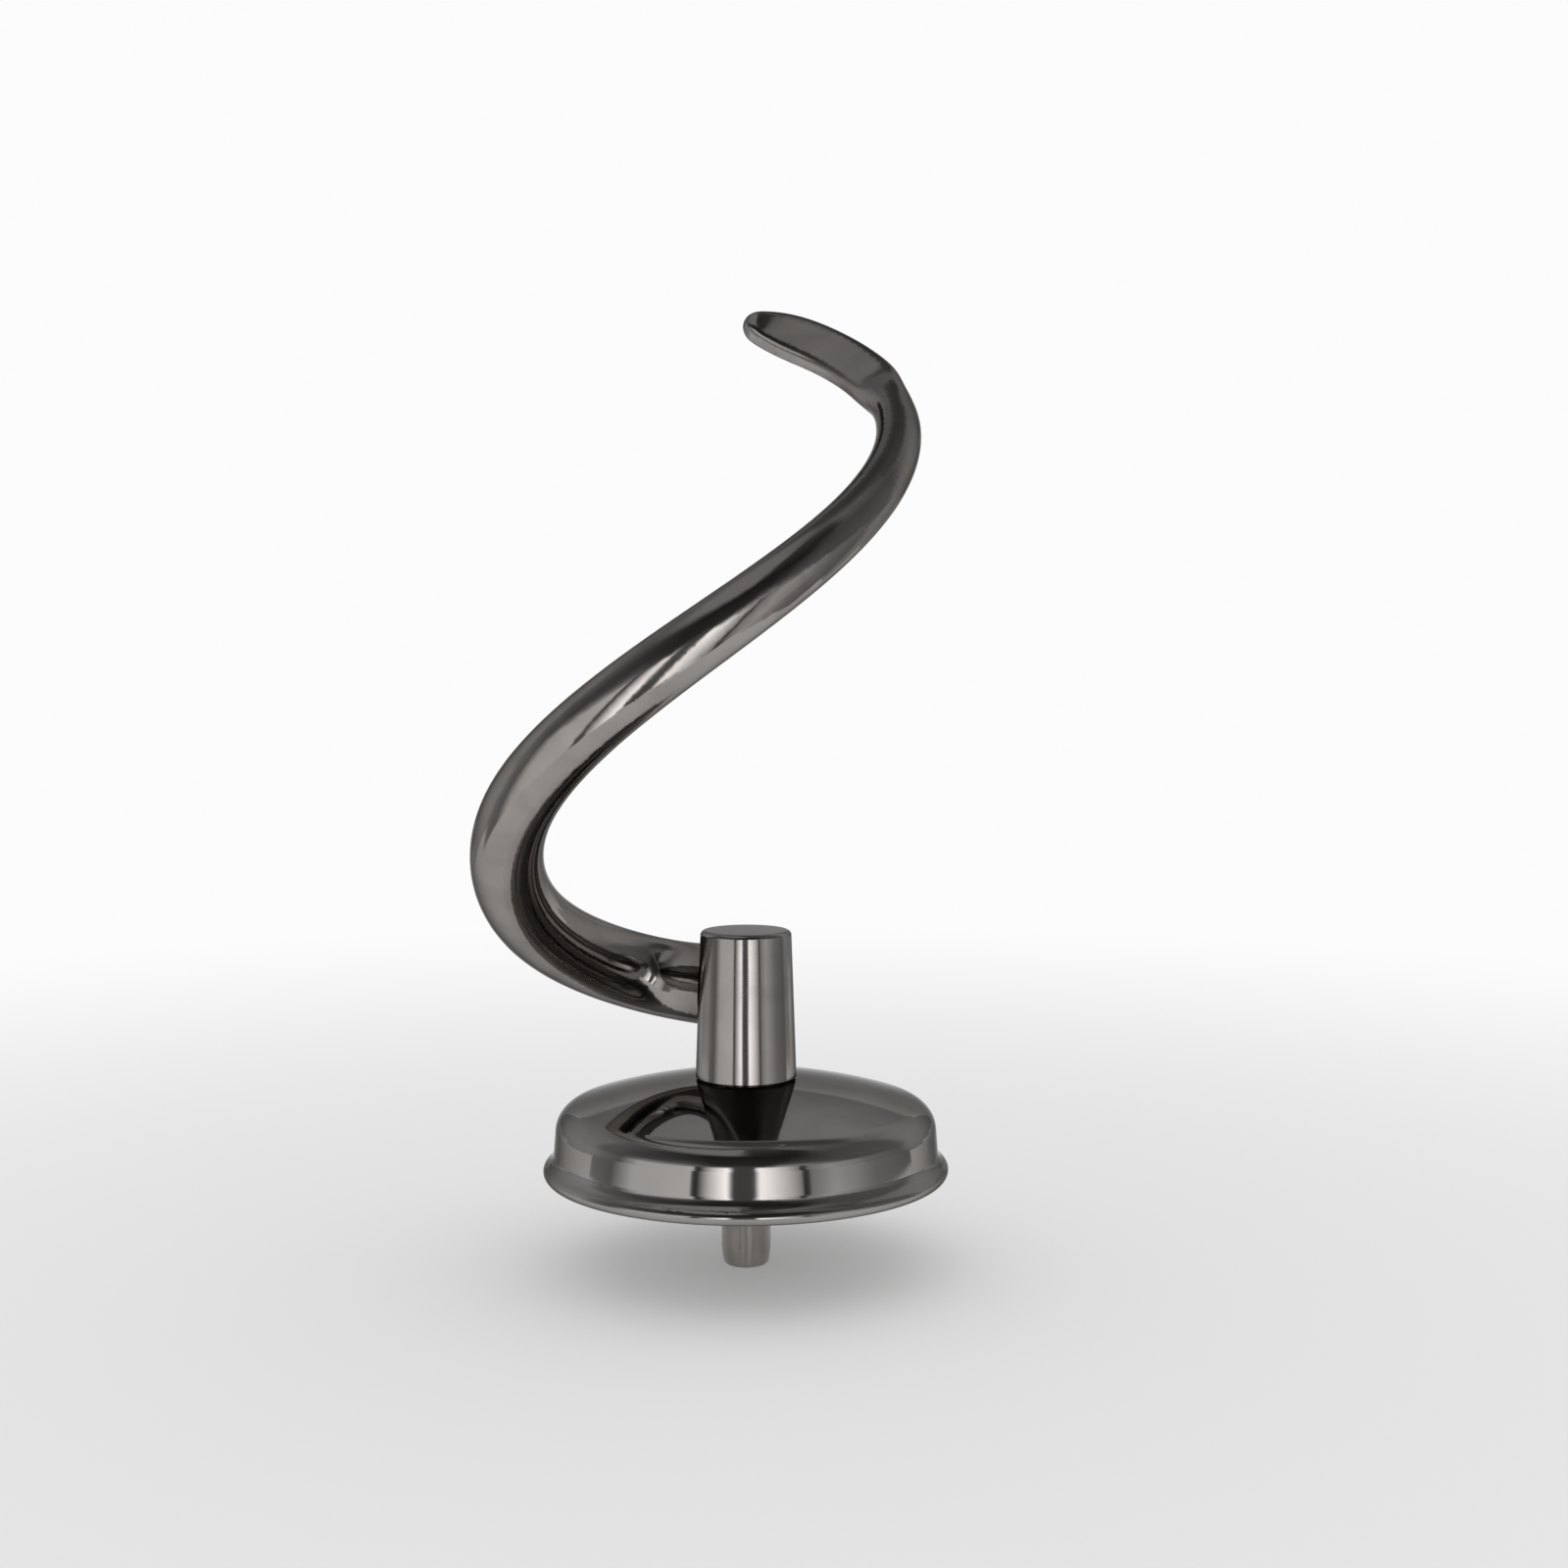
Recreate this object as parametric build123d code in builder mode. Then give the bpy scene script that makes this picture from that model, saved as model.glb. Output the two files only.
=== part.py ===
"""Stand mixer dough hook, standing on its drive shaft with the hook upwards.

Millimetres, +Z up. The origin is on the shaft's axis, at the shoulder that stops the mixer's socket,
level with the lip of the shield. The tool is four pieces fixed together: a cast hook with its hub, a
pressed shield, a turned drive shaft and a cross pin that takes the drive.
"""
import os
from math import asin, copysign, cos, degrees, radians, sin, sqrt, tan

from build123d import *

# Drive shaft: a plain end below the shoulder, a boss for the pin, a collar and a spigot for the hub
SHAFT_DIAMETER = 10.0
SHAFT_LENGTH = 18.5
SHAFT_LEAD_LENGTH = 3.5
SHAFT_LEAD_DEPTH = 0.5
SHAFT_END_RADIUS = 1.2
BOSS_DIAMETER = 13.0
COLLAR_DIAMETER = 18.0
COLLAR_HEIGHT = 4.0
COLLAR_CHAMFER = 0.6
SPIGOT_DIAMETER = 8.0
SPIGOT_IN_HUB = 18.0
SPIGOT_CHAMFER = 0.8

# Cross pin, inside the shield
PIN_DIAMETER = 4.0
PIN_LENGTH = 24.0
PIN_HEIGHT = 7.0
PIN_CHAMFER = 0.4

# Shield: heights are measured from the bottom of its lip, and the bead overhangs the foot of the wall
SHIELD_WALL_DIAMETER = 78.2
SHIELD_WALL_DRAFT = 4.6
SHIELD_HEIGHT = 19.4
SHIELD_SHEET = 1.2
SHIELD_DOME_RADIUS = 115.0
SHIELD_SHOULDER_RADIUS = 5.6
SHIELD_SEAT_DIAMETER = 19.6
LIP_OVERHANG = 1.7
LIP_BEAD_DIAMETER = 2.9
LIP_FLARE_RADIUS = 3.0

# Spiral arm: its middle line starts on the hub's axis, and reach is measured from that axis
ARM_ROOT_HEIGHT = 18.6
ARM_ROOT_ANGLE = 140.0
ARM_REACH = 51.0
ARM_RISE = 136.0
ARM_ROOT_DIAMETER = 17.5
ARM_NECK_DIAMETER = 8.4
ARM_ROOT_FILLET = 1.5

# Hub: its top is wider than the arm's root by a margin, and it widens by its taper down to its base
HUB_TOP_MARGIN = 0.8
HUB_TAPER = 2.1
HUB_TOP_DIAMETER = ARM_ROOT_DIAMETER + HUB_TOP_MARGIN
HUB_BASE_DIAMETER = HUB_TOP_DIAMETER + HUB_TAPER
HUB_HEIGHT = 30.0
HUB_TOP_RADIUS = 1.0
HUB_BASE_CHAMFER = 0.5

# Flattened tip of the arm, which goes from round to flat over its blend and ends in a rounded leaf. Its
# squareness is 2 for an ellipse, and more for flatter faces with tighter edges
TIP_WIDTH = 9.9
TIP_THICKNESS = 5.0
TIP_LENGTH = 46.5
TIP_BLEND_LENGTH = 12.0
TIP_END_LENGTH = 15.0
TIP_FACE_LIFT = 28.0
TIP_SQUARENESS = 5.0

# Shape of the spiral: turn from the root in degrees, share of the reach, share of the rise
ARM_STATIONS = [
    (0, 0.59, 0.0),
    (40, 0.81, 0.089),
    (75, 1.0, 0.278),
    (130, 0.83, 0.546),
    (175, 0.67, 0.705),
    (220, 0.581, 0.84),
    (265, 0.523, 0.94),
    (312, 0.508, 1.0),
]

# Sections that the arm is lofted through, in spans short enough to follow the spiral closely
ARM_SECTIONS = 49
ARM_SPANS = 4
END_SECTIONS = 6
OUTLINE_POINTS = 16

# Clearances
BRAZE_GAP = 0.05
PRESS_GAP = 0.02
HOLE_GAP = 0.15
BORE_END_GAP = 1.0

# Heights above the lip that the sizes above lead to
collar_top_z = SHIELD_HEIGHT - SHIELD_SHEET
collar_bottom_z = collar_top_z - COLLAR_HEIGHT
spigot_top_z = SHIELD_HEIGHT + SPIGOT_IN_HUB
arm_root_z = SHIELD_HEIGHT + ARM_ROOT_HEIGHT


def spiral_point(turn, reach_share, rise_share):
    """Point of the arm's middle line at a turn from its root."""
    angle = radians(ARM_ROOT_ANGLE + turn)
    reach = ARM_REACH * reach_share
    return (reach * cos(angle), reach * sin(angle), arm_root_z + ARM_RISE * rise_share)


def section_distances(length):
    """Distances along the arm of its sections, closer together where the end is rounded."""
    straight = length - TIP_END_LENGTH
    distances = [straight * index / (ARM_SECTIONS - 1) for index in range(ARM_SECTIONS)]
    for index in range(1, END_SECTIONS):
        distances.append(straight + TIP_END_LENGTH * sin(radians(90 * index / END_SECTIONS)))
    return distances


def section_planes(path, distances):
    """Planes across the arm: the tip's face sets the last, and the others follow it without twist."""
    along = path.tangent_at(distances[-1] / path.length)
    outward = along.cross(Vector(0, 0, 1)).normalized()
    lift = radians(TIP_FACE_LIFT)
    face = outward * -cos(lift) + outward.cross(along) * sin(lift)
    width = along.cross(face)
    planes = []
    for distance in reversed(distances):
        ahead = path.tangent_at(distance / path.length)
        hinge = along.cross(ahead)
        if hinge.length > 0:
            width = width.rotate(Axis((0, 0, 0), hinge), degrees(asin(hinge.length)))
        along = ahead
        planes.append(Plane(path.position_at(distance / path.length), x_dir=width, z_dir=along))
    return list(reversed(planes))


def flatness(length, distance):
    """Share of the tip's flat shape that the arm has at a distance from its root."""
    share = min(max((distance - length + TIP_LENGTH) / TIP_BLEND_LENGTH, 0.0), 1.0)
    return share * share * (3 - 2 * share)


def rounding(from_end, end_length):
    """Share of its full size that a section keeps at a distance from a round end."""
    share = min(from_end / end_length, 1.0)
    return sqrt(1 - (1 - share) ** 2)


def section_radii(length, distance):
    """Half width and half thickness of the arm at a distance from its root."""
    taper = min(distance / (length - TIP_LENGTH), 1.0)
    radius = (ARM_ROOT_DIAMETER + (ARM_NECK_DIAMETER - ARM_ROOT_DIAMETER) * taper) / 2
    flat = flatness(length, distance)
    half_width = radius + (TIP_WIDTH / 2 - radius) * flat
    half_thickness = radius + (TIP_THICKNESS / 2 - radius) * flat
    half_width *= rounding(length - distance, TIP_END_LENGTH)
    half_thickness *= rounding(length - distance, TIP_THICKNESS / 2)
    return half_width, half_thickness


def section_outline(length, distance):
    """Points round a section of the tip, which goes from a circle to a flat bar with round edges."""
    half_width, half_thickness = section_radii(length, distance)
    power = 2 / (2 + (TIP_SQUARENESS - 2) * flatness(length, distance))
    points = []
    for index in range(OUTLINE_POINTS):
        angle = radians(360 * index / OUTLINE_POINTS)
        across = copysign(abs(cos(angle)) ** power, cos(angle))
        through = copysign(abs(sin(angle)) ** power, sin(angle))
        points.append((half_width * across, half_thickness * through))
    return points


# Hook: hub and spiral arm in one casting
with BuildPart() as hook:
    with Locations((0, 0, SHIELD_HEIGHT)):
        Cone(
            HUB_BASE_DIAMETER / 2,
            HUB_TOP_DIAMETER / 2,
            HUB_HEIGHT,
            align=(Align.CENTER, Align.CENTER, Align.MIN),
        )
    fillet(hook.edges().sort_by(Axis.Z)[-1], HUB_TOP_RADIUS)
    chamfer(hook.edges().sort_by(Axis.Z)[0], HUB_BASE_CHAMFER)

    with BuildLine(mode=Mode.PRIVATE) as arm_line:
        Spline((0, 0, arm_root_z), *[spiral_point(*station) for station in ARM_STATIONS])
    arm_path = arm_line.edge()
    distances = section_distances(arm_path.length)
    sections = []
    for plane, distance in zip(section_planes(arm_path, distances), distances):
        with BuildSketch(plane, mode=Mode.PRIVATE) as section:
            if flatness(arm_path.length, distance) > 0:
                with BuildLine():
                    Spline(*section_outline(arm_path.length, distance), periodic=True)
                make_face()
            else:
                Ellipse(*section_radii(arm_path.length, distance))
        sections.append(section.sketch)
    span_ends = [round(index * (ARM_SECTIONS - 1) / ARM_SPANS) for index in range(ARM_SPANS)]
    loft(sections[: span_ends[1] + 1])
    fillet(hook.edges(Select.NEW).sort_by_distance((0, 0, arm_root_z))[0], ARM_ROOT_FILLET)
    for first, last in zip(span_ends[1:-1], span_ends[2:]):
        loft(sections[first : last + 1])
    loft([*sections[span_ends[-1] :], Vertex(*(arm_path @ 1))])

    with Locations((0, 0, SHIELD_HEIGHT)):
        Cylinder(
            SPIGOT_DIAMETER / 2 + BRAZE_GAP,
            SPIGOT_IN_HUB + BORE_END_GAP,
            align=(Align.CENTER, Align.CENTER, Align.MIN),
            mode=Mode.SUBTRACT,
        )
hook.part.label = "hook"

# Shield: one pressed sheet, drawn along the middle of its thickness, with a rolled bead at its lip
half_sheet = SHIELD_SHEET / 2
bead_radius = LIP_BEAD_DIAMETER / 2
bead_middle = (SHIELD_WALL_DIAMETER / 2 + LIP_OVERHANG - bead_radius, bead_radius)
seat_radius = SHIELD_SEAT_DIAMETER / 2
dome_middle_radius = SHIELD_DOME_RADIUS - half_sheet
dome_z = SHIELD_HEIGHT - half_sheet - sqrt(dome_middle_radius**2 - seat_radius**2)
draft = radians(SHIELD_WALL_DRAFT)
wall_radius = SHIELD_WALL_DIAMETER / 2 - half_sheet / cos(draft)

# The wall leans in as it rises, and meets the dome's sphere at this turn from the axis
wall_distance = (wall_radius - dome_z * tan(draft)) * cos(draft)
dome_edge_turn = asin(wall_distance / dome_middle_radius) - draft
dome_seat_turn = asin(seat_radius / dome_middle_radius)

with BuildPart() as shield:
    with BuildSketch(Plane.XZ) as shield_section:
        with BuildLine() as shield_line:
            dome = CenterArc(
                (0, dome_z),
                dome_middle_radius,
                90 - degrees(dome_seat_turn),
                degrees(dome_seat_turn - dome_edge_turn),
            )
            Line((SPIGOT_DIAMETER / 2 + HOLE_GAP, (dome @ 0).Y), dome @ 0)
            wall_foot = wall_radius - bead_radius * tan(draft)
            Line(dome @ 1, (wall_foot, bead_middle[1]))
            shoulder = shield_line.vertices().sort_by_distance(dome @ 1)[0]
            fillet(shoulder, SHIELD_SHOULDER_RADIUS - half_sheet)
        trace(line_width=SHIELD_SHEET)
        with Locations(bead_middle):
            Circle(bead_radius)
        bead_top = (SHIELD_WALL_DIAMETER / 2, LIP_BEAD_DIAMETER)
        fillet(shield_section.vertices().sort_by_distance(bead_top)[0], LIP_FLARE_RADIUS)
    revolve(axis=Axis.Z)
shield.part.label = "shield"

# Drive shaft: one turned piece, with the collar that holds the shield up against the hub
shaft_radius = SHAFT_DIAMETER / 2
boss_radius = BOSS_DIAMETER / 2
collar_radius = COLLAR_DIAMETER / 2
spigot_radius = SPIGOT_DIAMETER / 2
with BuildPart() as drive_shaft:
    with BuildSketch(Plane.XZ):
        with BuildLine():
            Polyline(
                (0, -SHAFT_LENGTH),
                (shaft_radius - SHAFT_LEAD_DEPTH, -SHAFT_LENGTH),
                (shaft_radius, SHAFT_LEAD_LENGTH - SHAFT_LENGTH),
                (shaft_radius, 0),
                (boss_radius, 0),
                (boss_radius, collar_bottom_z),
                (collar_radius, collar_bottom_z),
                (collar_radius, collar_top_z),
                (spigot_radius, collar_top_z),
                (spigot_radius, spigot_top_z),
                (0, spigot_top_z),
                close=True,
            )
        make_face()
    revolve(axis=Axis.Z)
    rims = drive_shaft.edges().filter_by(GeomType.CIRCLE).sort_by(Axis.Z)
    fillet(rims[0], SHAFT_END_RADIUS)
    chamfer(drive_shaft.edges().filter_by(GeomType.CIRCLE).sort_by(Axis.Z)[-1], SPIGOT_CHAMFER)
    collar_rim = drive_shaft.edges().filter_by(GeomType.CIRCLE).sort_by(SortBy.RADIUS)[-2:]
    chamfer(collar_rim.sort_by(Axis.Z)[0], COLLAR_CHAMFER)
    with Locations(Location((0, 0, PIN_HEIGHT), (0, 90, 0))):
        Cylinder(PIN_DIAMETER / 2 + PRESS_GAP, BOSS_DIAMETER, mode=Mode.SUBTRACT)
drive_shaft.part.label = "drive_shaft"

# Cross pin through the shaft
with BuildPart() as drive_pin:
    with Locations(Location((0, 0, PIN_HEIGHT), (0, 90, 0))):
        Cylinder(PIN_DIAMETER / 2, PIN_LENGTH)
    chamfer(drive_pin.edges().filter_by(GeomType.CIRCLE), PIN_CHAMFER)
drive_pin.part.label = "drive_pin"

os.makedirs("parts", exist_ok=True)
for piece in (hook.part, shield.part, drive_shaft.part, drive_pin.part):
    export_step(piece, f"parts/{piece.label}.step")
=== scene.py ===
"""Studio picture of a stand mixer dough hook, dressed over its CAD frame.

Metres, +Z up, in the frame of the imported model: the origin is on the shaft's axis, level with the lip of
the shield. The four CAD pieces have the right shapes, so they stay and get their finishes here.
"""
import logging
import math
from abc import ABC, abstractmethod
from dataclasses import dataclass, field
from enum import Enum
from typing import ClassVar

import bpy
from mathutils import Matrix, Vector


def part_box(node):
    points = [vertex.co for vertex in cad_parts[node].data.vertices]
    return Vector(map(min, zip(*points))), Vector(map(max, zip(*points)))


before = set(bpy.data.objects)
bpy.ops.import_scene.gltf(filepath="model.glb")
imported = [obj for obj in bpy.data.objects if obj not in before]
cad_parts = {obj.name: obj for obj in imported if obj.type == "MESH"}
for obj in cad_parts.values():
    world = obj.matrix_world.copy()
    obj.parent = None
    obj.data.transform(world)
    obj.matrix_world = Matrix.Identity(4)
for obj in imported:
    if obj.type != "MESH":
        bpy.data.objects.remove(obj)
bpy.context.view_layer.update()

LOG = logging.getLogger("dough_hook")
MILLIMETRE = 0.001

# Sockets of a Mix node's colours, which share their names with the sockets of its numbers
MIX_A = 6
MIX_B = 7
MIX_RESULT = 2

# Length after which a Wave Texture repeats at a scale of 1
WAVE_PERIOD = math.tau / 20

# Levels of the studio that the polish shows in several places, where 1 is white
WINDOW = 2.55
POST = 0.07
GAP = 0.12


class Piece(Enum):
    """The CAD pieces, by their names in the frame."""

    HOOK = "hook"
    SHIELD = "shield"
    SHAFT = "drive_shaft"
    PIN = "drive_pin"


class Turning(Enum):
    """The axis that a piece was turned or ground about, as Wave Texture and Tangent name it."""

    ABOUT_X = "X"
    ABOUT_Z = "Z"


def linear(hex_colour: str) -> tuple[float, float, float, float]:
    """Turns an sRGB hex colour into Blender's linear colour.

    Args:
        hex_colour: Six hex digits, with no hash sign.

    Returns:
        Linear red, green and blue, and an alpha of 1.
    """
    shares = [int(hex_colour[index:index + 2], 16) / 255 for index in (0, 2, 4)]
    red, green, blue = [s / 12.92 if s <= 0.04045 else ((s + 0.055) / 1.055) ** 2.4 for s in shares]
    return red, green, blue, 1.0


def per_millimetre(size: float) -> float:
    """Gives the texture scale at which a pattern repeats every so many millimetres.

    Args:
        size: Size of the pattern in millimetres.

    Returns:
        Repeats per metre.
    """
    return 1 / (size * MILLIMETRE)


def add_node(
    tree: bpy.types.NodeTree, kind: str, sockets: dict[str | int, object] | None = None, **settings: object
) -> bpy.types.Node:
    """Adds a node with its settings, and fills or links its input sockets.

    Args:
        tree: Node tree that gets the node.
        kind: Blender's name for the kind of node.
        sockets: Value, or output socket to link, for each input by name or number.
        settings: Properties of the node itself.

    Returns:
        The new node.
    """
    node = tree.nodes.new(kind)
    for name, value in settings.items():
        setattr(node, name, value)
    for key, value in (sockets or {}).items():
        if isinstance(value, bpy.types.NodeSocket):
            tree.links.new(value, node.inputs[key])
        else:
            node.inputs[key].default_value = value
    return node


def new_material(name: str) -> tuple[bpy.types.Material, bpy.types.NodeTree]:
    """Makes a material with an empty node tree.

    Args:
        name: Name of the material.

    Returns:
        The material and its node tree.
    """
    material = bpy.data.materials.new(name)
    material.use_nodes = True
    material.node_tree.nodes.clear()
    return material, material.node_tree


def dress(piece: Piece, material: bpy.types.Material) -> None:
    """Gives a CAD piece its finish.

    Args:
        piece: The piece.
        material: Its finish.
    """
    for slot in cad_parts[piece.value].material_slots:
        slot.material = material
    LOG.info("%s: %s", piece.value, material.name)


@dataclass(frozen=True)
class BuffedSteel:
    """Stainless steel buffed to a mirror: soft waves from the wheel, hairlines and faint smears of wax.

    Real hairlines are a few hundredths of a millimetre wide, so they are drawn coarser, and very shallow.

    Attributes:
        name: Name of the material.
        colour: Colour of the clean metal.
        smear_colour: Colour under a smear of polishing wax.
        roughness: Roughness of the clean metal.
        smear_roughness: Roughness under a smear.
        smear_mm: Size of a smear.
        wave_mm: Length of a wave left by the wheel.
        wave_height_mm: Height of a wave.
        hairline_mm: Width of a hairline.
        hairline_height_mm: Depth of a hairline.
        lay: Stretch of the hairlines along X, Y and Z, where less is longer.
        edge_tint: Tint at grazing angles.
        smear_limits: Levels of the noise between which a smear fades in.
    """

    name: str
    colour: str
    smear_colour: str
    roughness: float
    smear_roughness: float
    smear_mm: float
    wave_mm: float
    wave_height_mm: float
    hairline_mm: float
    hairline_height_mm: float
    lay: tuple[float, float, float]
    edge_tint: str = "888888"
    smear_limits: tuple[float, float] = (0.42, 0.72)

    def material(self) -> bpy.types.Material:
        """Makes the material.

        Returns:
            The finished material.
        """
        material, tree = new_material(self.name)
        place = add_node(tree, "ShaderNodeTexCoord").outputs["Object"]
        smear = self.smear(tree, place)
        tint = add_node(
            tree,
            "ShaderNodeMix",
            {"Factor": smear, MIX_A: linear(self.colour), MIX_B: linear(self.smear_colour)},
            data_type="RGBA",
        )
        gloss = add_node(
            tree,
            "ShaderNodeMapRange",
            {"Value": smear, "To Min": self.roughness, "To Max": self.smear_roughness},
        )
        shader = add_node(
            tree,
            "ShaderNodeBsdfPrincipled",
            {
                "Base Color": tint.outputs[MIX_RESULT],
                "Metallic": 1.0,
                "Roughness": gloss.outputs[0],
                "Specular Tint": linear(self.edge_tint),
                "Normal": self.relief(tree, place),
            },
        )
        add_node(tree, "ShaderNodeOutputMaterial", {"Surface": shader.outputs["BSDF"]})
        return material

    def smear(self, tree: bpy.types.NodeTree, place: bpy.types.NodeSocket) -> bpy.types.NodeSocket:
        """Spreads what is left of the polishing wax in soft patches.

        Args:
            tree: Node tree of the material.
            place: Object coordinates.

        Returns:
            Output from 0, clean, to 1, smeared.
        """
        patch = add_node(
            tree,
            "ShaderNodeTexNoise",
            {"Vector": place, "Scale": per_millimetre(self.smear_mm), "Detail": 4.0, "Distortion": 0.6},
        )
        clean, full = self.smear_limits
        share = add_node(
            tree, "ShaderNodeMapRange", {"Value": patch.outputs["Fac"], "From Min": clean, "From Max": full}
        )
        return share.outputs[0]

    def relief(self, tree: bpy.types.NodeTree, place: bpy.types.NodeSocket) -> bpy.types.NodeSocket:
        """Shapes the waves left by the wheel, with hairlines over them along the lay of the polish.

        Args:
            tree: Node tree of the material.
            place: Object coordinates.

        Returns:
            Normal output of the last bump.
        """
        wave = add_node(
            tree,
            "ShaderNodeTexNoise",
            {"Vector": place, "Scale": per_millimetre(self.wave_mm), "Detail": 1.0},
        )
        wave_bump = add_node(
            tree,
            "ShaderNodeBump",
            {"Height": wave.outputs["Fac"], "Distance": self.wave_height_mm * MILLIMETRE},
        )
        along = add_node(tree, "ShaderNodeMapping", {"Vector": place, "Scale": self.lay})
        hairline = add_node(
            tree,
            "ShaderNodeTexNoise",
            {"Vector": along.outputs[0], "Scale": per_millimetre(self.hairline_mm), "Detail": 3.0},
        )
        bump = add_node(
            tree,
            "ShaderNodeBump",
            {
                "Height": hairline.outputs["Fac"],
                "Distance": self.hairline_height_mm * MILLIMETRE,
                "Normal": wave_bump.outputs["Normal"],
            },
        )
        return bump.outputs["Normal"]


@dataclass(frozen=True)
class TurnedSteel:
    """Stainless steel straight from the lathe or the grinder: fine rings about its axis, a little stained.

    Real rings are about a tenth of a millimetre apart, so they are drawn coarser.

    Attributes:
        name: Name of the material.
        colour: Colour of the clean metal.
        stain_colour: Colour of the stain.
        roughness: Roughness of the clean metal.
        spread: Share by which the rings draw a highlight out along the axis.
        ring_mm: Distance from ring to ring.
        ring_height_mm: Height of a ring.
        turning: Axis of the rings.
        stain_mm: Size of a stain.
        stain_dulling: Factor on the roughness where the stain is full.
        across: Part of a turn that sets the highlight across the rings.
    """

    name: str
    colour: str
    stain_colour: str
    roughness: float
    spread: float
    ring_mm: float
    ring_height_mm: float
    turning: Turning
    stain_mm: float = 3.0
    stain_dulling: float = 1.5
    across: float = 0.25

    def material(self) -> bpy.types.Material:
        """Makes the material.

        Returns:
            The finished material.
        """
        material, tree = new_material(self.name)
        place = add_node(tree, "ShaderNodeTexCoord").outputs["Object"]
        stain = add_node(
            tree,
            "ShaderNodeTexNoise",
            {"Vector": place, "Scale": per_millimetre(self.stain_mm), "Detail": 5.0},
        ).outputs["Fac"]
        tint = add_node(
            tree,
            "ShaderNodeMix",
            {"Factor": stain, MIX_A: linear(self.colour), MIX_B: linear(self.stain_colour)},
            data_type="RGBA",
        )
        gloss = add_node(
            tree,
            "ShaderNodeMapRange",
            {"Value": stain, "To Min": self.roughness, "To Max": self.roughness * self.stain_dulling},
        )
        round_axis = add_node(
            tree, "ShaderNodeTangent", direction_type="RADIAL", axis=self.turning.value
        )
        shader = add_node(
            tree,
            "ShaderNodeBsdfPrincipled",
            {
                "Base Color": tint.outputs[MIX_RESULT],
                "Metallic": 1.0,
                "Roughness": gloss.outputs[0],
                "Anisotropic": self.spread,
                "Anisotropic Rotation": self.across,
                "Normal": self.relief(tree, place),
                "Tangent": round_axis.outputs[0],
            },
        )
        add_node(tree, "ShaderNodeOutputMaterial", {"Surface": shader.outputs["BSDF"]})
        return material

    def relief(self, tree: bpy.types.NodeTree, place: bpy.types.NodeSocket) -> bpy.types.NodeSocket:
        """Shapes the rings that the tool left.

        Args:
            tree: Node tree of the material.
            place: Object coordinates.

        Returns:
            Normal output of the bump.
        """
        rings = add_node(
            tree,
            "ShaderNodeTexWave",
            {
                "Vector": place,
                "Scale": per_millimetre(self.ring_mm) * WAVE_PERIOD,
                "Distortion": 1.2,
                "Detail": 3.0,
                "Detail Scale": 2.0,
            },
            bands_direction=self.turning.value,
        )
        bump = add_node(
            tree,
            "ShaderNodeBump",
            {"Height": rings.outputs["Fac"], "Distance": self.ring_height_mm * MILLIMETRE},
        )
        return bump.outputs["Normal"]


@dataclass
class SpiralHook:
    """The cast hook: hub, spiral arm and flattened tip in one piece."""

    # A casting buffed by hand: a mirror in which the edges of what it shows are soft and waver a little
    finish: BuffedSteel = BuffedSteel(
        name="buffed_cast_steel",
        colour="A39F9C",
        smear_colour="96928F",
        roughness=0.1,
        smear_roughness=0.15,
        smear_mm=11,
        wave_mm=16,
        wave_height_mm=0.06,
        hairline_mm=0.35,
        hairline_height_mm=0.0001,
        lay=(1, 1, 0.12),
    )

    def dress(self) -> None:
        """Dresses the casting in buffed steel."""
        dress(Piece.HOOK, self.finish.material())


@dataclass
class DripShield:
    """The pressed shield with its rolled lip."""

    # Rolled sheet, smoother than a casting: a clear mirror with crisp edges and hardly a wave
    finish: BuffedSteel = BuffedSteel(
        name="buffed_sheet_steel",
        colour="A4A19F",
        smear_colour="999693",
        roughness=0.05,
        smear_roughness=0.09,
        smear_mm=18,
        wave_mm=24,
        wave_height_mm=0.02,
        hairline_mm=0.3,
        hairline_height_mm=0.0002,
        lay=(1, 1, 1),
    )

    def dress(self) -> None:
        """Dresses the shield in buffed sheet."""
        dress(Piece.SHIELD, self.finish.material())


@dataclass
class DriveEnd:
    """The turned drive shaft and the ground pin across it."""

    # A plain turned surface: satin, with its highlight drawn out along the axis
    shaft_finish: TurnedSteel = TurnedSteel(
        name="turned_shaft_steel",
        colour="BAB6B2",
        stain_colour="A6A19C",
        roughness=0.32,
        spread=0.95,
        ring_mm=0.35,
        ring_height_mm=0.002,
        turning=Turning.ABOUT_Z,
    )
    # A finer, ground surface: smoother than the shaft, with rings that hardly show
    pin_finish: TurnedSteel = TurnedSteel(
        name="ground_pin_steel",
        colour="B0AEAB",
        stain_colour="A29F9B",
        roughness=0.25,
        spread=0.6,
        ring_mm=0.2,
        ring_height_mm=0.001,
        turning=Turning.ABOUT_X,
    )

    def dress(self) -> None:
        """Dresses the shaft and the pin."""
        dress(Piece.SHAFT, self.shaft_finish.material())
        dress(Piece.PIN, self.pin_finish.material())


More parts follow.
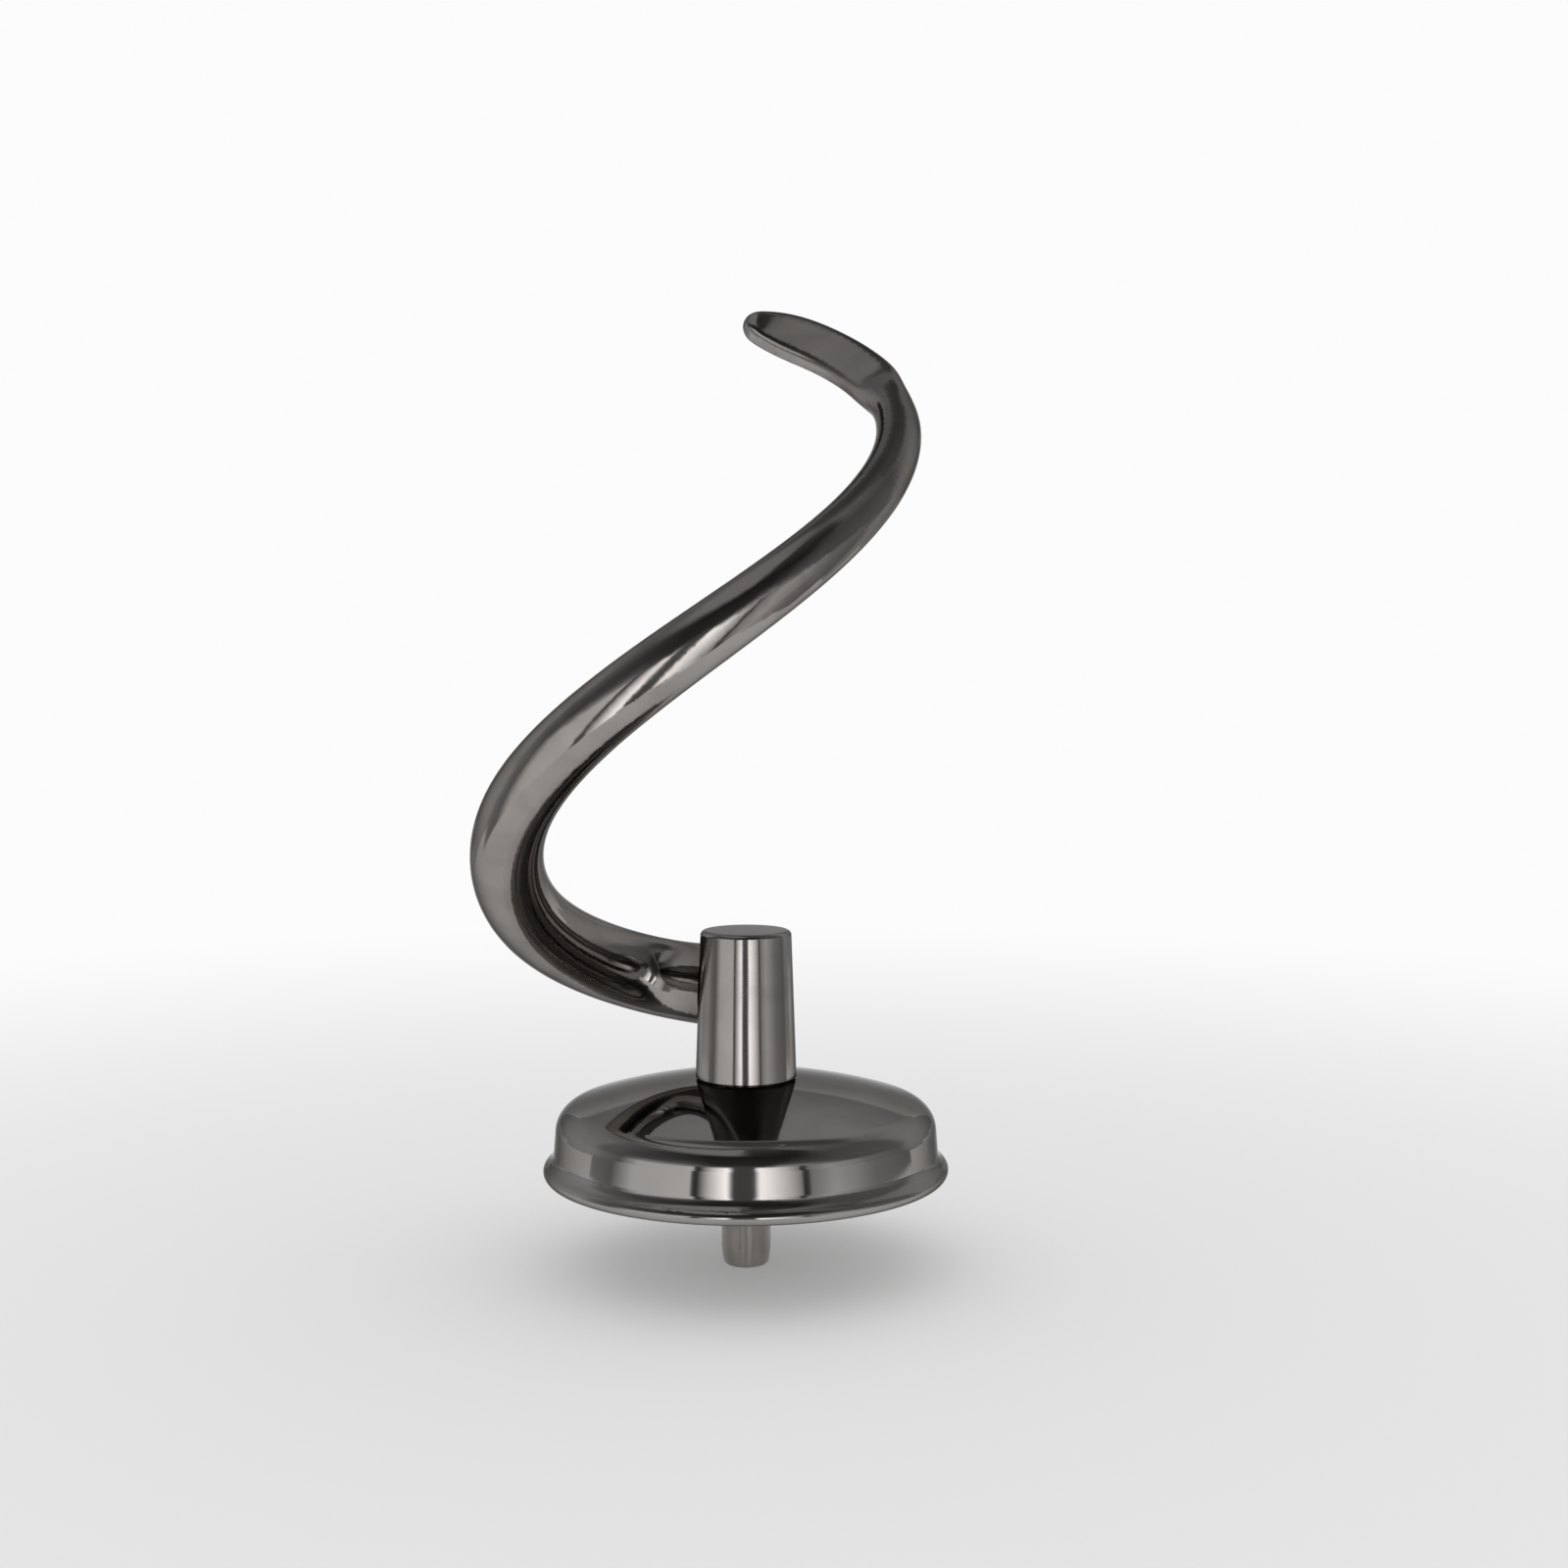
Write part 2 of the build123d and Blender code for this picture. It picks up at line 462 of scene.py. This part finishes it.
@dataclass(frozen=True)
class Sheet(ABC):
    """A sheet of the tent, bent round the object, which only the polish shows.

    Attributes:
        name: Name of the sheet.
        azimuth: First and last turn in degrees, where 0 is the camera's side and 90 is +X.
        grid: Faces along the turn and across it.
    """

    name: str
    azimuth: tuple[float, float]
    grid: ClassVar[tuple[int, int]] = (90, 24)

    @abstractmethod
    def point(self, turn: float, up: float, ground: float) -> tuple[float, float, float]:
        """Gives a place on the sheet.

        Args:
            turn: Turn about the object in radians.
            up: Share from the near or lower edge to the far or upper edge.
            ground: Height of the floor.

        Returns:
            The point in metres.
        """

    def build(self, material: bpy.types.Material, ground: float) -> None:
        """Shapes a grid into the sheet and hides it from camera, diffuse, shadow and transmission rays.

        Args:
            material: Glow of the tent.
            ground: Height of the floor.
        """
        columns, rows = self.grid
        bpy.ops.mesh.primitive_grid_add(x_subdivisions=columns, y_subdivisions=rows, size=1)
        sheet = bpy.context.object
        sheet.name = self.name
        start, end = self.azimuth
        for vertex in sheet.data.vertices:
            along, up = vertex.co.x + 0.5, vertex.co.y + 0.5
            vertex.co = self.point(math.radians(start + (end - start) * along), up, ground)
        sheet.data.materials.append(material)
        sheet.visible_camera = False
        sheet.visible_diffuse = False
        sheet.visible_shadow = False
        sheet.visible_transmission = False


@dataclass(frozen=True)
class Wall(Sheet):
    """A sheet that stands round the object like a piece of a globe.

    Attributes:
        elevation: Elevation of its lower and upper edge in degrees.
        distance: Radius of the globe.
    """

    elevation: tuple[float, float]
    distance: float = 3.0

    def point(self, turn: float, up: float, ground: float) -> tuple[float, float, float]:
        """Gives a place on the wall.

        Args:
            turn: Turn about the object in radians.
            up: Share from the lower edge to the upper edge.
            ground: Height of the floor, which a wall doesn't follow.

        Returns:
            The point in metres.
        """
        low, high = self.elevation
        rise = math.radians(low + (high - low) * up)
        flat = self.distance * math.cos(rise)
        return flat * math.sin(turn), -flat * math.cos(turn), self.distance * math.sin(rise)


@dataclass(frozen=True)
class Rug(Sheet):
    """A sheet that lies on the floor round the object like a piece of a ring, outside the picture.

    Attributes:
        reach: Radius of its near and far edge.
        lift_mm: Height over the floor in millimetres.
    """

    reach: tuple[float, float]
    lift_mm: float = 0.5

    def point(self, turn: float, up: float, ground: float) -> tuple[float, float, float]:
        """Gives a place on the rug, with its rows closer together near the object.

        Args:
            turn: Turn about the object in radians.
            up: Share from the near edge to the far edge.
            ground: Height of the floor.

        Returns:
            The point in metres.
        """
        near, far = self.reach
        radius = near * (far / near) ** up
        return radius * math.sin(turn), -radius * math.cos(turn), ground + self.lift_mm * MILLIMETRE


@dataclass(frozen=True)
class Row:
    """Levels of the tent's glow round the object at one elevation.

    Attributes:
        elevation: Elevation in degrees.
        stops: Turns in degrees, from back to front and to back again, each with its level.
    """

    elevation: float
    stops: tuple[tuple[float, float], ...]


@dataclass
class Tent:
    """A light tent round the object, pale at the back and open in front towards a dim room with windows.

    Attributes:
        peak: Level that the brightest stop may have.
        sheets: Its sheets. They leave free what the picture shows of the floor and the background.
        rows: Its levels, from the floor up.
    """

    peak: float = 3.0
    sheets: tuple[Sheet, ...] = (
        Wall("tent_top", (-180, 180), (22, 90)),
        Wall("tent_side", (-156, 156), (-0.5, 22)),
        Rug("room_floor", (-93, 105), (0.18, 3)),
        Rug("left_floor", (-125, -93), (0.27, 3)),
        Rug("right_floor", (105, 125), (0.27, 3)),
        Rug("left_back_floor", (-140, -125), (0.5, 3)),
        Rug("right_back_floor", (125, 140), (0.5, 3)),
    )
    rows: tuple[Row, ...] = (
        # Floor and eye level: a pale back, dim sides, pale cloth up to a dark post on each side of the
        # opening, and in the opening two windows with a dark gap between them
        Row(
            7,
            (
                (-180, 0.6), (-156, 0.6), (-100, 0.5), (-90, 0.3), (-77, 0.2), (-63, 0.82), (-29, 0.95),
                (-28, POST), (-25, POST), (-24, 0.25), (-9.5, WINDOW), (-6.5, GAP), (5.5, GAP),
                (8.5, WINDOW), (31, 0.5), (32, POST), (35, POST), (36, 0.4), (50, 0.7), (76, 0.32),
                (103, 0.22), (113, 0.42), (156, 0.6), (180, 0.6),
            ),
        ),
        # Over the windows: their light fades, and the room gets dark
        Row(
            15,
            (
                (-180, 0.56), (-156, 0.56), (-104, 0.46), (-94, 0.26), (-77, 0.15), (-60, 0.35),
                (-38, 0.35), (-18, 0.12), (12, 0.1), (22, 0.5), (38, 0.4), (50, 0.25), (65, 0.14),
                (105, 0.2), (115, 0.42), (156, 0.58), (180, 0.56),
            ),
        ),
        Row(
            22,
            (
                (-180, 0.56), (-156, 0.54), (-106, 0.45), (-96, 0.24), (-70, 0.12), (-36, 0.14),
                (-18, 0.04), (16, 0.05), (28, 0.14), (50, 0.15), (105, 0.2), (115, 0.42), (156, 0.56),
                (180, 0.56),
            ),
        ),
        # Upper walls: pale behind, dim at the sides and darkest over the opening
        Row(
            34,
            (
                (-180, 0.5), (-156, 0.44), (-106, 0.4), (-96, 0.22), (-70, 0.11), (-22, 0.04), (25, 0.04),
                (60, 0.14), (105, 0.18), (115, 0.38), (156, 0.52), (180, 0.54),
            ),
        ),
        Row(
            50,
            (
                (-180, 0.44), (-156, 0.3), (-100, 0.2), (-60, 0.08), (-25, 0.025), (40, 0.03), (60, 0.13),
                (105, 0.16), (115, 0.26), (156, 0.42), (180, 0.44),
            ),
        ),
        # Roof: a wide pale panel on the left and a narrow one on the right
        Row(
            62,
            (
                (-180, 0.09), (-150, 0.12), (-136, 0.36), (-10, 0.36), (6, 0.05), (55, 0.04), (66, 0.2),
                (100, 0.18), (112, 0.12), (180, 0.09),
            ),
        ),
        Row(
            78,
            (
                (-180, 0.08), (-150, 0.12), (-136, 0.36), (-10, 0.36), (6, 0.08), (55, 0.08), (66, 0.26),
                (100, 0.24), (112, 0.14), (180, 0.08),
            ),
        ),
        Row(90, ((-180, 0.22), (180, 0.22))),
    )

    def build(self, ground: float) -> None:
        """Builds the sheets with one glow over all of them.

        Args:
            ground: Height of the floor.
        """
        material = self.glow()
        for sheet in self.sheets:
            sheet.build(material, ground)
        LOG.info("tent: %d sheets, %d rows of levels", len(self.sheets), len(self.rows))

    def glow(self) -> bpy.types.Material:
        """Makes the glow, which goes smoothly from one row of levels to the next.

        Returns:
            The finished material.
        """
        material, tree = new_material("tent_glow")
        turn, rise = self.directions(tree)
        levels = self.levels(tree, self.rows[0], turn)
        for lower, upper in zip(self.rows, self.rows[1:]):
            step = add_node(
                tree,
                "ShaderNodeMapRange",
                {
                    "Value": rise,
                    "From Min": math.radians(lower.elevation),
                    "From Max": math.radians(upper.elevation),
                },
                interpolation_type="SMOOTHSTEP",
            )
            mix = add_node(
                tree,
                "ShaderNodeMix",
                {"Factor": step.outputs[0], MIX_A: levels, MIX_B: self.levels(tree, upper, turn)},
                data_type="RGBA",
            )
            levels = mix.outputs[MIX_RESULT]
        emission = add_node(tree, "ShaderNodeEmission", {"Color": levels, "Strength": self.peak})
        add_node(tree, "ShaderNodeOutputMaterial", {"Surface": emission.outputs[0]})
        return material

    @staticmethod
    def directions(tree: bpy.types.NodeTree) -> tuple[bpy.types.NodeSocket, bpy.types.NodeSocket]:
        """Works out where a place on the tent stands, as the object sees it.

        Args:
            tree: Node tree of the glow.

        Returns:
            Turn about the object from 0 to 1, starting behind it, and elevation in radians.
        """
        place = add_node(tree, "ShaderNodeTexCoord").outputs["Object"]
        axes = add_node(tree, "ShaderNodeSeparateXYZ", {0: place})
        front = add_node(tree, "ShaderNodeMath", {0: axes.outputs["Y"], 1: -1.0}, operation="MULTIPLY")
        angle = add_node(
            tree, "ShaderNodeMath", {0: axes.outputs["X"], 1: front.outputs[0]}, operation="ARCTAN2"
        )
        turn = add_node(
            tree,
            "ShaderNodeMapRange",
            {"Value": angle.outputs[0], "From Min": -math.pi, "From Max": math.pi},
        )
        level_place = add_node(tree, "ShaderNodeVectorMath", {0: place, 1: (1, 1, 0)}, operation="MULTIPLY")
        flat = add_node(tree, "ShaderNodeVectorMath", {0: level_place.outputs[0]}, operation="LENGTH")
        rise = add_node(
            tree, "ShaderNodeMath", {0: axes.outputs["Z"], 1: flat.outputs["Value"]}, operation="ARCTAN2"
        )
        return turn.outputs[0], rise.outputs[0]

    def levels(
        self, tree: bpy.types.NodeTree, row: Row, turn: bpy.types.NodeSocket
    ) -> bpy.types.NodeSocket:
        """Lays out the levels of one row, as shares of the peak.

        Args:
            tree: Node tree of the glow.
            row: The row.
            turn: Turn about the object from 0 to 1, starting behind it.

        Returns:
            Grey output.
        """
        ramp = add_node(tree, "ShaderNodeValToRGB", {"Fac": turn})
        elements = ramp.color_ramp.elements
        elements.remove(elements[1])
        for index, (azimuth, level) in enumerate(row.stops):
            position = (azimuth + 180) / 360
            element = elements[0] if index == 0 else elements.new(position)
            element.position = position
            element.color = (*[level / self.peak] * 3, 1.0)
        return ramp.outputs["Color"]


@dataclass
class Camera:
    """The camera, where the photograph was taken from.

    Attributes:
        place: Its place.
        pitch: Angle in degrees by which it looks down.
        lens_mm: Focal length.
        sensor_mm: Width of its sensor.
    """

    place: tuple[float, float, float] = (0.00766, -0.40807, 0.10292)
    pitch: float = 3.39
    lens_mm: float = 46.9
    sensor_mm: float = 36.0

    def build(self) -> None:
        """Sets up the camera as the scene's own."""
        data = bpy.data.cameras.new("camera")
        data.sensor_width = self.sensor_mm
        data.lens = self.lens_mm
        camera = bpy.data.objects.new("camera", data)
        bpy.context.scene.collection.objects.link(camera)
        camera.location = self.place
        camera.rotation_euler = (math.radians(90 - self.pitch), 0, 0)
        bpy.context.scene.camera = camera


@dataclass
class Studio:
    """Pale floor, pale surroundings, the tent that the polish shows, and the camera.

    Attributes:
        floor_radius: Radius of the round floor.
        floor_sides: Sides of the round floor.
        floor_colour: Colour of the floor near the object.
        haze: Distances from the object between which the floor fades into the background.
        near_glow: Share of the background that the floor has near the object.
        background: Level of the background, where 1 is white.
        daylight: Level of the light on the floor and on rough surfaces.
        tent: The light tent.
        camera: The camera.
        ground: Height of the floor, at the shaft's free end.
    """

    floor_radius: float = 2.9
    floor_sides: int = 128
    floor_colour: str = "DEDEDE"
    haze: tuple[float, float] = (0.1, 0.55)
    near_glow: float = 0.2
    background: float = 0.97
    daylight: float = 1.0
    tent: Tent = field(default_factory=Tent)
    camera: Camera = field(default_factory=Camera)
    ground: float = field(default_factory=lambda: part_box(Piece.SHAFT.value)[0].z)

    def build(self) -> None:
        """Builds the floor, the surroundings, the tent and the camera."""
        self.lay_floor()
        self.surround()
        self.tent.build(self.ground)
        self.camera.build()

    def lay_floor(self) -> None:
        """Lays a round pale floor under the shaft's end, which fades into the background."""
        bpy.ops.mesh.primitive_circle_add(
            vertices=self.floor_sides, radius=self.floor_radius, fill_type="NGON"
        )
        floor = bpy.context.object
        floor.name = "floor"
        floor.location.z = self.ground
        floor.data.materials.append(self.floor_cover())

    def floor_cover(self) -> bpy.types.Material:
        """Makes the floor's cover: matt and pale near the object, so that it keeps the shadow.

        Returns:
            The finished material.
        """
        material, tree = new_material("pale_floor")
        place = add_node(tree, "ShaderNodeTexCoord").outputs["Object"]
        away = add_node(tree, "ShaderNodeVectorMath", {0: place}, operation="LENGTH")
        near, far = self.haze
        haze = add_node(
            tree,
            "ShaderNodeMapRange",
            {"Value": away.outputs["Value"], "From Min": near, "From Max": far, "To Min": self.near_glow},
            interpolation_type="SMOOTHSTEP",
        )
        share = add_node(
            tree, "ShaderNodeMath", {0: haze.outputs[0], 1: self.seen(tree)}, operation="MULTIPLY"
        )
        cover = add_node(tree, "ShaderNodeBsdfDiffuse", {"Color": linear(self.floor_colour)})
        glow = add_node(tree, "ShaderNodeEmission", {"Strength": self.background})
        mix = add_node(
            tree, "ShaderNodeMixShader", {0: share.outputs[0], 1: cover.outputs[0], 2: glow.outputs[0]}
        )
        add_node(tree, "ShaderNodeOutputMaterial", {"Surface": mix.outputs[0]})
        return material

    def surround(self) -> None:
        """Sets plain surroundings: daylight for the floor, and the pale background for what is seen."""
        world = bpy.data.worlds.new("studio")
        bpy.context.scene.world = world
        world.use_nodes = True
        tree = world.node_tree
        tree.nodes.clear()
        level = add_node(
            tree,
            "ShaderNodeMapRange",
            {"Value": self.seen(tree), "To Min": self.daylight, "To Max": self.background},
        )
        sky = add_node(
            tree, "ShaderNodeBackground", {"Color": linear("FFFFFF"), "Strength": level.outputs[0]}
        )
        add_node(tree, "ShaderNodeOutputWorld", {"Surface": sky.outputs[0]})
        bpy.context.scene.view_settings.view_transform = "Standard"

    @staticmethod
    def seen(tree: bpy.types.NodeTree) -> bpy.types.NodeSocket:
        """Tells what is seen, straight or in a reflection, from light that falls on a rough surface.

        Args:
            tree: Node tree that gets the nodes.

        Returns:
            Output of 1 for camera, glossy and transmission rays, and 0 for others.
        """
        path = add_node(tree, "ShaderNodeLightPath")
        polish = add_node(
            tree,
            "ShaderNodeMath",
            {0: path.outputs["Is Glossy Ray"], 1: path.outputs["Is Transmission Ray"]},
            operation="MAXIMUM",
        )
        both = add_node(
            tree,
            "ShaderNodeMath",
            {0: path.outputs["Is Camera Ray"], 1: polish.outputs[0]},
            operation="MAXIMUM",
        )
        return both.outputs[0]


def main() -> None:
    """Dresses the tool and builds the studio."""
    logging.basicConfig(level=logging.INFO, format="%(message)s")
    bpy.ops.object.select_all(action="DESELECT")
    for assembly in (SpiralHook(), DripShield(), DriveEnd()):
        assembly.dress()
    Studio().build()


if __name__ == "__main__":
    main()
